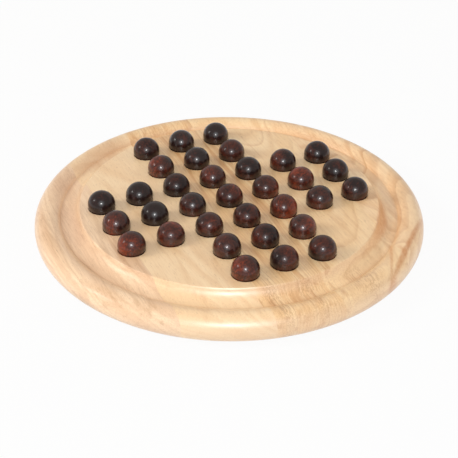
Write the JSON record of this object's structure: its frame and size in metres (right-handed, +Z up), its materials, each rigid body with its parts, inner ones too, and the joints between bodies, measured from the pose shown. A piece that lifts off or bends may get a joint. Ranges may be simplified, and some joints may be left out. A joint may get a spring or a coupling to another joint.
{
  "type": "marble solitaire board",
  "caption": "Turned round wooden solitaire board: a cross of dished seats, each holding a loose dark wooden marble, inside a channel and a rounded rim.",
  "frame": {"origin": "centre of the board's flat underside", "axes": "+Z up out of the playing surface; the rows of seats run along X and Y, and the staves and their grain run along Y"},
  "size_m": [0.2999, 0.3, 0.0391],
  "materials": {
    "pale_stave_wood": "satin lacquer",
    "dark_marble_wood": "polished"
  },
  "bodies": {
    "board": {"board_stave_1": "pale_stave_wood", "board_stave_2": "pale_stave_wood", "board_stave_3": "pale_stave_wood", "board_stave_4": "pale_stave_wood", "board_stave_5": "pale_stave_wood"},
    "marble_a3": {"marble_a3": "dark_marble_wood"},
    "marble_a4": {"marble_a4": "dark_marble_wood"},
    "marble_a5": {"marble_a5": "dark_marble_wood"},
    "marble_b3": {"marble_b3": "dark_marble_wood"},
    "marble_b4": {"marble_b4": "dark_marble_wood"},
    "marble_b5": {"marble_b5": "dark_marble_wood"},
    "marble_c1": {"marble_c1": "dark_marble_wood"},
    "marble_c2": {"marble_c2": "dark_marble_wood"},
    "marble_c3": {"marble_c3": "dark_marble_wood"},
    "marble_c4": {"marble_c4": "dark_marble_wood"},
    "marble_c5": {"marble_c5": "dark_marble_wood"},
    "marble_c6": {"marble_c6": "dark_marble_wood"},
    "marble_c7": {"marble_c7": "dark_marble_wood"},
    "marble_d1": {"marble_d1": "dark_marble_wood"},
    "marble_d2": {"marble_d2": "dark_marble_wood"},
    "marble_d3": {"marble_d3": "dark_marble_wood"},
    "marble_d4": {"marble_d4": "dark_marble_wood"},
    "marble_d5": {"marble_d5": "dark_marble_wood"},
    "marble_d6": {"marble_d6": "dark_marble_wood"},
    "marble_d7": {"marble_d7": "dark_marble_wood"},
    "marble_e1": {"marble_e1": "dark_marble_wood"},
    "marble_e2": {"marble_e2": "dark_marble_wood"},
    "marble_e3": {"marble_e3": "dark_marble_wood"},
    "marble_e4": {"marble_e4": "dark_marble_wood"},
    "marble_e5": {"marble_e5": "dark_marble_wood"},
    "marble_e6": {"marble_e6": "dark_marble_wood"},
    "marble_e7": {"marble_e7": "dark_marble_wood"},
    "marble_f3": {"marble_f3": "dark_marble_wood"},
    "marble_f4": {"marble_f4": "dark_marble_wood"},
    "marble_f5": {"marble_f5": "dark_marble_wood"},
    "marble_g3": {"marble_g3": "dark_marble_wood"},
    "marble_g4": {"marble_g4": "dark_marble_wood"},
    "marble_g5": {"marble_g5": "dark_marble_wood"}
  },
  "joints": [
    {"name": "marble_a3_lift", "type": "slide", "parent": "board", "child": "marble_a3", "axis": [0, 0, 1], "range_m": [0, 0.04]},
    {"name": "marble_a4_lift", "type": "slide", "parent": "board", "child": "marble_a4", "axis": [0, 0, 1], "range_m": [0, 0.04]},
    {"name": "marble_a5_lift", "type": "slide", "parent": "board", "child": "marble_a5", "axis": [0, 0, 1], "range_m": [0, 0.04]},
    {"name": "marble_b3_lift", "type": "slide", "parent": "board", "child": "marble_b3", "axis": [0, 0, 1], "range_m": [0, 0.04]},
    {"name": "marble_b4_lift", "type": "slide", "parent": "board", "child": "marble_b4", "axis": [0, 0, 1], "range_m": [0, 0.04]},
    {"name": "marble_b5_lift", "type": "slide", "parent": "board", "child": "marble_b5", "axis": [0, 0, 1], "range_m": [0, 0.04]},
    {"name": "marble_c1_lift", "type": "slide", "parent": "board", "child": "marble_c1", "axis": [0, 0, 1], "range_m": [0, 0.04]},
    {"name": "marble_c2_lift", "type": "slide", "parent": "board", "child": "marble_c2", "axis": [0, 0, 1], "range_m": [0, 0.04]},
    {"name": "marble_c3_lift", "type": "slide", "parent": "board", "child": "marble_c3", "axis": [0, 0, 1], "range_m": [0, 0.04]},
    {"name": "marble_c4_lift", "type": "slide", "parent": "board", "child": "marble_c4", "axis": [0, 0, 1], "range_m": [0, 0.04]},
    {"name": "marble_c5_lift", "type": "slide", "parent": "board", "child": "marble_c5", "axis": [0, 0, 1], "range_m": [0, 0.04]},
    {"name": "marble_c6_lift", "type": "slide", "parent": "board", "child": "marble_c6", "axis": [0, 0, 1], "range_m": [0, 0.04]},
    {"name": "marble_c7_lift", "type": "slide", "parent": "board", "child": "marble_c7", "axis": [0, 0, 1], "range_m": [0, 0.04]},
    {"name": "marble_d1_lift", "type": "slide", "parent": "board", "child": "marble_d1", "axis": [0, 0, 1], "range_m": [0, 0.04]},
    {"name": "marble_d2_lift", "type": "slide", "parent": "board", "child": "marble_d2", "axis": [0, 0, 1], "range_m": [0, 0.04]},
    {"name": "marble_d3_lift", "type": "slide", "parent": "board", "child": "marble_d3", "axis": [0, 0, 1], "range_m": [0, 0.04]},
    {"name": "marble_d4_lift", "type": "slide", "parent": "board", "child": "marble_d4", "axis": [0, 0, 1], "range_m": [0, 0.04]},
    {"name": "marble_d5_lift", "type": "slide", "parent": "board", "child": "marble_d5", "axis": [0, 0, 1], "range_m": [0, 0.04]},
    {"name": "marble_d6_lift", "type": "slide", "parent": "board", "child": "marble_d6", "axis": [0, 0, 1], "range_m": [0, 0.04]},
    {"name": "marble_d7_lift", "type": "slide", "parent": "board", "child": "marble_d7", "axis": [0, 0, 1], "range_m": [0, 0.04]},
    {"name": "marble_e1_lift", "type": "slide", "parent": "board", "child": "marble_e1", "axis": [0, 0, 1], "range_m": [0, 0.04]},
    {"name": "marble_e2_lift", "type": "slide", "parent": "board", "child": "marble_e2", "axis": [0, 0, 1], "range_m": [0, 0.04]},
    {"name": "marble_e3_lift", "type": "slide", "parent": "board", "child": "marble_e3", "axis": [0, 0, 1], "range_m": [0, 0.04]},
    {"name": "marble_e4_lift", "type": "slide", "parent": "board", "child": "marble_e4", "axis": [0, 0, 1], "range_m": [0, 0.04]},
    {"name": "marble_e5_lift", "type": "slide", "parent": "board", "child": "marble_e5", "axis": [0, 0, 1], "range_m": [0, 0.04]},
    {"name": "marble_e6_lift", "type": "slide", "parent": "board", "child": "marble_e6", "axis": [0, 0, 1], "range_m": [0, 0.04]},
    {"name": "marble_e7_lift", "type": "slide", "parent": "board", "child": "marble_e7", "axis": [0, 0, 1], "range_m": [0, 0.04]},
    {"name": "marble_f3_lift", "type": "slide", "parent": "board", "child": "marble_f3", "axis": [0, 0, 1], "range_m": [0, 0.04]},
    {"name": "marble_f4_lift", "type": "slide", "parent": "board", "child": "marble_f4", "axis": [0, 0, 1], "range_m": [0, 0.04]},
    {"name": "marble_f5_lift", "type": "slide", "parent": "board", "child": "marble_f5", "axis": [0, 0, 1], "range_m": [0, 0.04]},
    {"name": "marble_g3_lift", "type": "slide", "parent": "board", "child": "marble_g3", "axis": [0, 0, 1], "range_m": [0, 0.04]},
    {"name": "marble_g4_lift", "type": "slide", "parent": "board", "child": "marble_g4", "axis": [0, 0, 1], "range_m": [0, 0.04]},
    {"name": "marble_g5_lift", "type": "slide", "parent": "board", "child": "marble_g5", "axis": [0, 0, 1], "range_m": [0, 0.04]}
  ]
}
